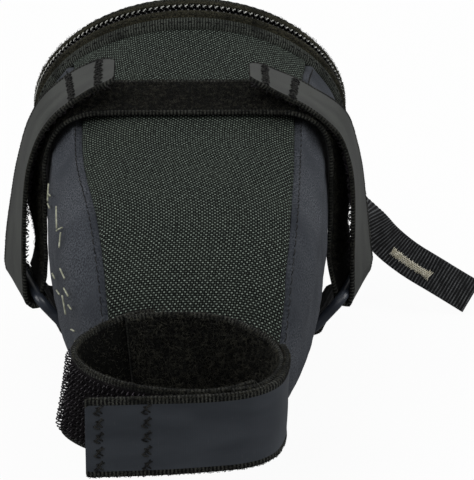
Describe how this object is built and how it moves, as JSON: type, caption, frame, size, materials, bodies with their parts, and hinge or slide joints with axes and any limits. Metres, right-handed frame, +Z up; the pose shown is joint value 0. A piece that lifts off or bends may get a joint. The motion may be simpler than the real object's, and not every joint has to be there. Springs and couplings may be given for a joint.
{
  "type": "bicycle saddle bag",
  "caption": "Wedge-shaped saddle bag with a zipped rear flap, hook-and-loop rail straps on plastic rings and a seatpost strap.",
  "frame": {"origin": "on the top panel's centre line, under the middle of the rail strap", "axes": "+Z up, +Y to the rear where the zipper is, +X to the right when seen from the front"},
  "size_m": [0.1287, 0.2253, 0.1069],
  "materials": {
    "ballistic": "ballistic weave, dark grey with light flecks",
    "side_fabric": "smooth heathered grey-blue knit",
    "binding": "ribbed woven binding",
    "foam": "closed-cell foam",
    "lining": "plain woven lining",
    "zip_tape": "woven zipper tape",
    "coil": "moulded nylon coil, satin",
    "dark_metal": "dark enamelled die casting",
    "pile": "loop pile",
    "hooks": "woven hook tape",
    "webbing": "woven webbing",
    "ring_plastic": "moulded plastic with a fine grain",
    "coated_web": "webbing with a satin coated face",
    "grosgrain": "ribbed grosgrain ribbon",
    "thread": "cream polyester thread"
  },
  "bodies": {
    "bag": {"top_panel": "ballistic", "side_panel_left": "side_fabric", "side_panel_right": "side_fabric", "bottom_panel": "ballistic", "foam_top": "foam", "foam_left": "foam", "foam_right": "foam", "foam_bottom": "foam", "lining": "lining", "rear_sill": "side_fabric", "zip_binding_body": "binding", "zip_tape_body": "zip_tape", "zip_coil_body": "coil", "zip_stops": "dark_metal", "rail_strap_centre": "pile", "rail_strap_left": "pile", "rail_strap_right": "pile", "ring_anchor_left": "webbing", "ring_anchor_right": "webbing", "post_strap_seat": "webbing", "post_strap_hooks": "hooks", "post_strap_pile": "pile"},
    "loop_left": {"ring_left": "ring_plastic", "rail_fold_left": "pile"},
    "loop_right": {"ring_right": "ring_plastic", "rail_fold_right": "pile"},
    "tail_left": {"rail_tail_left": "coated_web", "rail_hooks_left": "hooks"},
    "tail_right": {"rail_tail_right": "coated_web", "rail_hooks_right": "hooks"},
    "post_end": {"post_tail": "coated_web", "post_tail_pile": "pile"},
    "flap": {"rear_panel": "side_fabric", "rear_foam": "foam", "rear_lining": "lining", "zip_binding_flap": "binding", "zip_tape_flap": "zip_tape", "zip_coil_flap": "coil", "light_loop": "webbing"},
    "slider": {"zip_slider": "dark_metal"},
    "pull": {"pull_link": "dark_metal", "pull_ribbon": "grosgrain", "ribbon_tack": "thread"}
  },
  "joints": [
    {"name": "zip_run", "type": "hinge", "parent": "bag", "child": "slider", "pos_m": [0, 0.0663, -0.0338], "axis": [0, -0.91, -0.4147], "range_deg": [0, 232], "stiffness_Nm_per_rad": 0.02},
    {"name": "pull_swing", "type": "hinge", "parent": "slider", "child": "pull", "pos_m": [0.04224, 0.07484, -0.05255], "axis": [0, -0.91, -0.4147], "range_deg": [-20, 110], "stiffness_Nm_per_rad": 0.01},
    {"name": "flap_fold", "type": "hinge", "parent": "bag", "child": "flap", "pos_m": [0, 0.08742, -0.05362], "axis": [-1, 0, 0], "range_deg": [0, 95], "stiffness_Nm_per_rad": 0.2},
    {"name": "ring_left_swing", "type": "hinge", "parent": "bag", "child": "loop_left", "pos_m": [-0.0352, 0, -0.0612], "axis": [0, -1, 0], "range_deg": [0, 15], "stiffness_Nm_per_rad": 0.05},
    {"name": "ring_right_swing", "type": "hinge", "parent": "bag", "child": "loop_right", "pos_m": [0.0352, 0, -0.0612], "axis": [0, 1, 0], "range_deg": [0, 15], "stiffness_Nm_per_rad": 0.05},
    {"name": "tail_left_peel", "type": "hinge", "parent": "loop_left", "child": "tail_left", "pos_m": [-0.0429, 0, -0.052], "axis": [0, -1, 0], "range_deg": [0, 88], "stiffness_Nm_per_rad": 0.05},
    {"name": "tail_right_peel", "type": "hinge", "parent": "loop_right", "child": "tail_right", "pos_m": [0.0429, 0, -0.052], "axis": [0, 1, 0], "range_deg": [0, 88], "stiffness_Nm_per_rad": 0.05},
    {"name": "post_peel", "type": "hinge", "parent": "bag", "child": "post_end", "pos_m": [0.0059, -0.1193, -0.0229], "axis": [0, 0, 1], "range_deg": [0, 80], "stiffness_Nm_per_rad": 0.05}
  ],
  "couplings": [
    {"joint": "flap_fold", "follows": "zip_run", "ratio": 0.40947}
  ]
}
